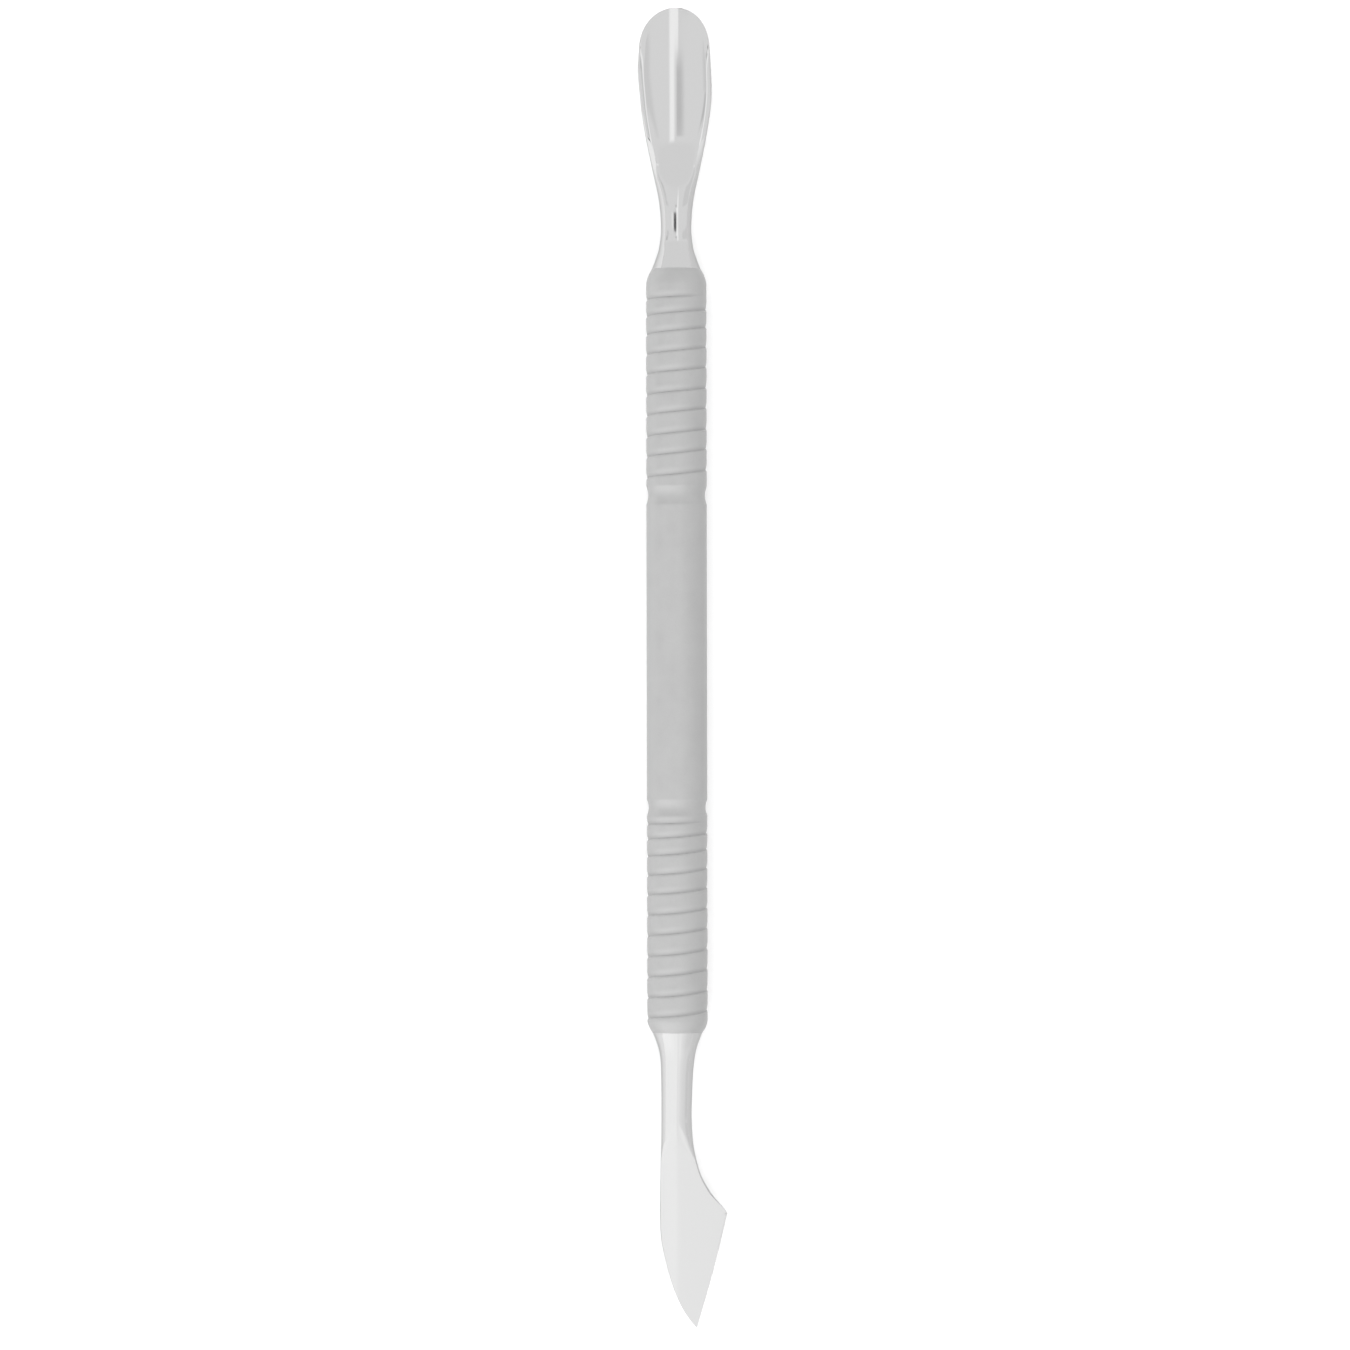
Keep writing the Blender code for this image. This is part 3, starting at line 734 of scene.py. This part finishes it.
def add_floor():
    """A matt white sheet with painted shade on one side and a painted glow on the other."""
    bpy.ops.mesh.primitive_plane_add(size=FLOOR_SIZE, location=(0, 0, 0))
    floor = bpy.context.object
    floor.name = "floor"
    m = Nodes("floor")
    split = m.add("ShaderNodeSeparateXYZ")
    m.link(m.place, split.inputs["Vector"])
    across = split.outputs["Y"]
    # Painted shade: the floor's colour darkens towards -Y.
    tone = m.ranged(across, *DIM_SIDE, DIM_TONE, FLOOR_TONE)
    m.link(m.grey(tone), m.shader.inputs["Base Color"])
    # Painted light: the floor glows towards +Y, though there is no lamp under it.
    m.shader.inputs["Emission Color"].default_value = (1.0, 1.0, 1.0, 1.0)
    m.link(m.ranged(across, *LIT_SIDE, 0.0, LIT_GLOW), m.shader.inputs["Emission Strength"])
    m.shader.inputs["Roughness"].default_value = 0.9
    m.shader.inputs["Specular IOR Level"].default_value = 0.0
    floor.data.materials.append(m.material)


def add_tent():
    """A white tent round the tool, with the patches that the polished ends mirror."""
    world = bpy.data.worlds.new("studio")
    world.use_nodes = True
    g = Graph(world.node_tree, "Generated")
    split = g.add("ShaderNodeSeparateXYZ")
    g.link(g.place, split.inputs["Vector"])
    radiance = SKY
    for amount, across, along in PATCHES:
        for axis, (begin, full, fading, gone) in (("Y", across), ("X", along)):
            place = split.outputs[axis]
            rise = g.ranged(place, begin, full, 0.0, 1.0, "SMOOTHSTEP")
            fall = g.ranged(place, fading, gone, 1.0, 0.0, "SMOOTHSTEP")
            amount = g.calc("MULTIPLY", amount, g.calc("MULTIPLY", rise, fall))
        radiance = g.calc("ADD", radiance, amount)
    background = world.node_tree.nodes["Background"]
    background.inputs["Color"].default_value = (1, 1, 1, 1)
    g.link(radiance, background.inputs["Strength"])
    bpy.context.scene.world = world


def add_camera():
    data = bpy.data.cameras.new("camera")
    data.type = "PERSP"
    data.lens = LENS_MM
    data.sensor_width = SENSOR_MM
    data.dof.use_dof = False
    camera = bpy.data.objects.new("camera", data)
    distance = OVERALL / TOOL_SHARE * LENS_MM / SENSOR_MM
    middle = (PUSHER_TIP_X + CLEANER_TIP_X) / 2
    camera.location = (middle + VIEW_OFFSET[0], AXIS_Y + VIEW_OFFSET[1], AXIS_Z + distance)
    camera.rotation_euler = (0, 0, -math.pi / 2 + VIEW_ROLL)
    bpy.context.scene.collection.objects.link(camera)
    bpy.context.scene.camera = camera


def main():
    scene = bpy.context.scene
    scene.view_settings.view_transform = "Standard"
    satin, polished, braze = satin_steel(), polished_steel(), braze_silver()
    add_handle(satin)
    add_pusher(polished)
    add_cleaner(polished)
    for node in ("pusher_braze_ring", "cleaner_braze_ring"):
        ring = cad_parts[node]
        ring.data.materials.clear()
        ring.data.materials.append(braze)
    add_floor()
    add_tent()
    add_camera()


main()
